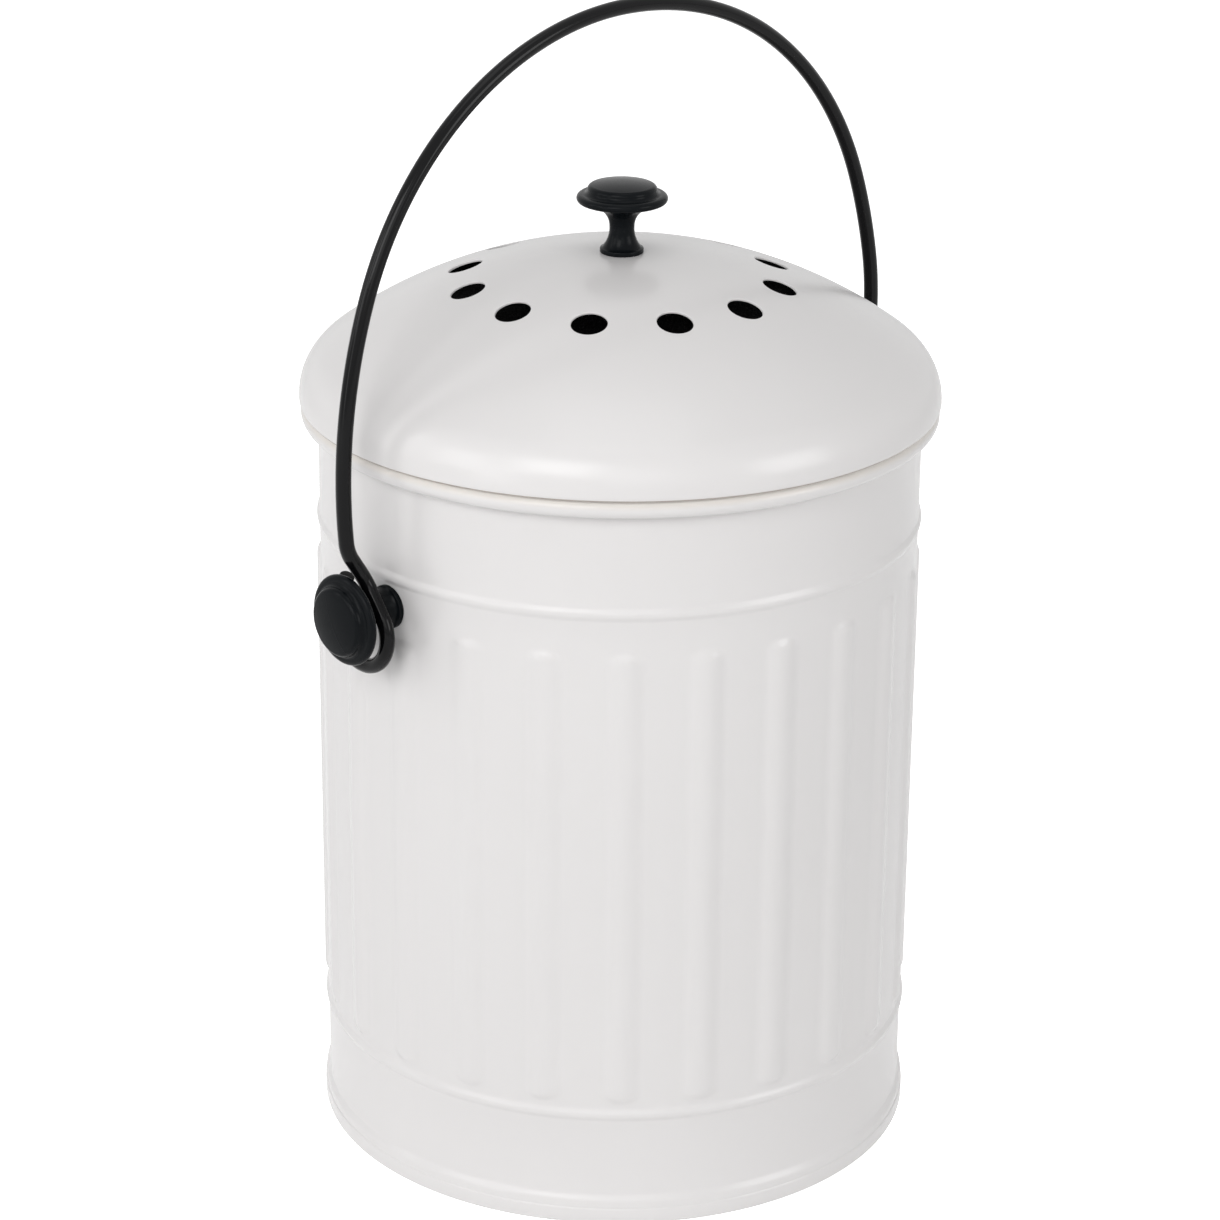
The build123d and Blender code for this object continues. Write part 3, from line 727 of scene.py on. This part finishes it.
left_half = [Vector((-point.x, point.y, point.z)) for point in bail_half()]
right_half = [fuller(point) for point in bail_half()]
wire = bpy.data.curves.new("wire", "CURVE")
wire.dimensions = "3D"
spline = wire.splines.new("POLY")
wire_points = left_half + right_half[-2::-1]
spline.points.add(len(wire_points) - 1)
for target, point in zip(spline.points, wire_points):
    target.co = (*point, 1)
wire.bevel_depth = WIRE_R
wire.bevel_resolution = 6
wire.use_fill_caps = True
wire.twist_mode = "MINIMUM"
holder = bpy.data.objects.new("wire_holder", wire)
bpy.context.scene.collection.objects.link(holder)
bpy.context.view_layer.update()
tube = bmesh.new()
tube.from_mesh(holder.evaluated_get(bpy.context.evaluated_depsgraph_get()).to_mesh())
bpy.data.objects.remove(holder)
bmesh.ops.remove_doubles(tube, verts=tube.verts, dist=SAME_POINT)
cut_edges = [edge for edge in tube.edges if edge.calc_face_angle(0) > radians(60)]
bmesh.ops.bevel(tube, geom=cut_edges, offset=DEBURR, segments=3, profile=0.5, affect="EDGES",
                material=-1)
wire_coat = coated("black_wire_coat", thin=(0.0025, 0.0025, 0.003), thick=(0.004, 0.004, 0.0045),
                   peel=900.0, gloss=(0.11, 0.15), depth=0.002 * MM, shine=0.17)
piece(tube, "wire_bail", wire_coat, "handle", ["bail"])


# Filter holder: a hoop under the dome, coated with the lid, and a black moulded tray that pushes
# into it. Its slotted floor carries the pad, and its fine grain comes from the mould.
MOULDED_THIN = 0.9
MOULDED_THICK = 1.15
MOULDED_SPREAD = 0.06
MOULDED_DEPTH = 0.02 * MM


def moulded(name, colour, grain, roughness):
    """A moulded plastic or rubber finish with a fine grain."""
    material, tree, shader, place = finish_base(name)
    spray(tree, shader, place, [c * MOULDED_THIN for c in colour], [c * MOULDED_THICK for c in colour],
          grain, (roughness - MOULDED_SPREAD, roughness + MOULDED_SPREAD), MOULDED_DEPTH)
    return material


def refinish(node, finish):
    """Gives a CAD node its finish."""
    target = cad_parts[node].data.materials
    target.clear()
    target.append(finish)


refinish("filter_ring", white_coat)
refinish("filter_tray", moulded("black_moulding", (0.016, 0.016, 0.017), grain=1500.0, roughness=0.55))


# Filter: a disc of open-cell foam loaded with charcoal, dull black, which shows through the vents.
# It is cut from sheet and lies loose in the tray.
PORES_PER_METRE = 900.0
PORE_WALL = 0.18
PORE_DEPTH = 0.4 * MM
# Painted shade: the pores' throats are coloured darker than the foam to stand for the shade inside them.
PAINTED_PORE_SHADE = (0.0015, 0.0015, 0.0015, 1)
FOAM_COLOUR = (0.012, 0.012, 0.012, 1)


def charcoal_foam():
    """Open-cell foam: round pores, their throats coloured darker as painted shade."""
    material, tree, shader, place = finish_base("charcoal_foam")
    pores = tree.nodes.new("ShaderNodeTexVoronoi")
    pores.feature = "DISTANCE_TO_EDGE"
    pores.inputs["Scale"].default_value = PORES_PER_METRE
    tree.links.new(place, pores.inputs["Vector"])
    walls = tree.nodes.new("ShaderNodeMapRange")
    walls.inputs["From Max"].default_value = PORE_WALL
    walls.inputs["To Min"].default_value = 1.0
    walls.inputs["To Max"].default_value = 0.0
    tree.links.new(pores.outputs["Distance"], walls.inputs["Value"])
    mix = tree.nodes.new("ShaderNodeMix")
    mix.data_type = "RGBA"
    mix.inputs["A"].default_value = PAINTED_PORE_SHADE
    mix.inputs["B"].default_value = FOAM_COLOUR
    tree.links.new(walls.outputs["Result"], mix.inputs["Factor"])
    tree.links.new(mix.outputs["Result"], shader.inputs["Base Color"])
    shader.inputs["Roughness"].default_value = 0.95
    shader.inputs["Specular IOR Level"].default_value = 0.2
    bumped(tree, shader, walls.outputs["Result"], PORE_DEPTH)
    return material


pad_low, pad_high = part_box("charcoal_filter")
PAD_EDGE_R = 1.4 * MM
PAD_CROWN = 0.25 * MM
PAD_RINGS = 44
PAD_STEPS = 200
PORE_RELIEF = 0.12 * MM
PORE_SIZE = 1.6 * MM
pad_r = pad_high.x - PORE_RELIEF
pad_top = pad_high.z - PORE_RELIEF
pad_floor = pad_low.z
flat_r = pad_r - PAD_EDGE_R
shares = [k / PAD_RINGS for k in range(PAD_RINGS) if pad_r * k / PAD_RINGS < flat_r]
pad_outline = [(pad_r * share, pad_floor) for share in shares]
pad_outline += arc((flat_r, pad_floor + PAD_EDGE_R), PAD_EDGE_R, -pi / 2, pi / 2, 5, (False, True))
pad_outline += arc((flat_r, pad_top - PAD_CROWN - PAD_EDGE_R), PAD_EDGE_R, 0, pi / 2, 5)
pad_outline += [(pad_r * share, pad_top - PAD_CROWN * share**2) for share in reversed(shares)]
pad = lathe(pad_outline, PAD_STEPS, closed=False)
bmesh.ops.recalc_face_normals(pad, faces=pad.faces)
for vert in pad.verts:
    if vert.co.z > pad_floor + PAD_EDGE_R:
        vert.co += vert.normal * PORE_RELIEF * field.noise(vert.co / PORE_SIZE)
foam_pad = piece(pad, "foam_pad", charcoal_foam(), "tray", ["charcoal_filter"])


# Fastenings: a turned brass insert moulded into each knob, a zinc-plated pan-head screw with a flat
# and a spring washer, and a rubber seal inside the wall on each side.
MARK_DETAIL = 4.0
MARK_ROUGH = 0.7
MARK_DARKENS = 0.82
MARK_GLOSS = (-0.07, 0.09)
MARK_DEPTH = 0.01 * MM


def turned_metal(name, colour, roughness, mark_scale):
    """Bright metal with fine tool marks."""
    material, tree, shader, place = finish_base(name)
    marks = noise(tree, place, mark_scale, MARK_DETAIL, MARK_ROUGH)
    tint = tree.nodes.new("ShaderNodeMix")
    tint.data_type = "RGBA"
    tint.inputs["A"].default_value = (*[c * MARK_DARKENS for c in colour], 1)
    tint.inputs["B"].default_value = (*colour, 1)
    tree.links.new(marks, tint.inputs["Factor"])
    tree.links.new(tint.outputs["Result"], shader.inputs["Base Color"])
    tree.links.new(ranged(tree, marks, roughness + MARK_GLOSS[0], roughness + MARK_GLOSS[1]),
                   shader.inputs["Roughness"])
    shader.inputs["Metallic"].default_value = 1.0
    bumped(tree, shader, marks, MARK_DEPTH)
    return material


brass = turned_metal("turned_brass", (0.80, 0.58, 0.26), 0.3, 1800.0)
zinc = turned_metal("bright_zinc", (0.66, 0.67, 0.68), 0.28, 1400.0)
seal_rubber = moulded("seal_rubber", (0.022, 0.022, 0.022), grain=900.0, roughness=0.75)
for place in ("lid", "left", "right"):
    refinish(place + "_insert", brass)
    for part in ("_screw", "_washer", "_spring_washer"):
        refinish(place + part, zinc)
    if place != "lid":
        refinish(place + "_seal", seal_rubber)
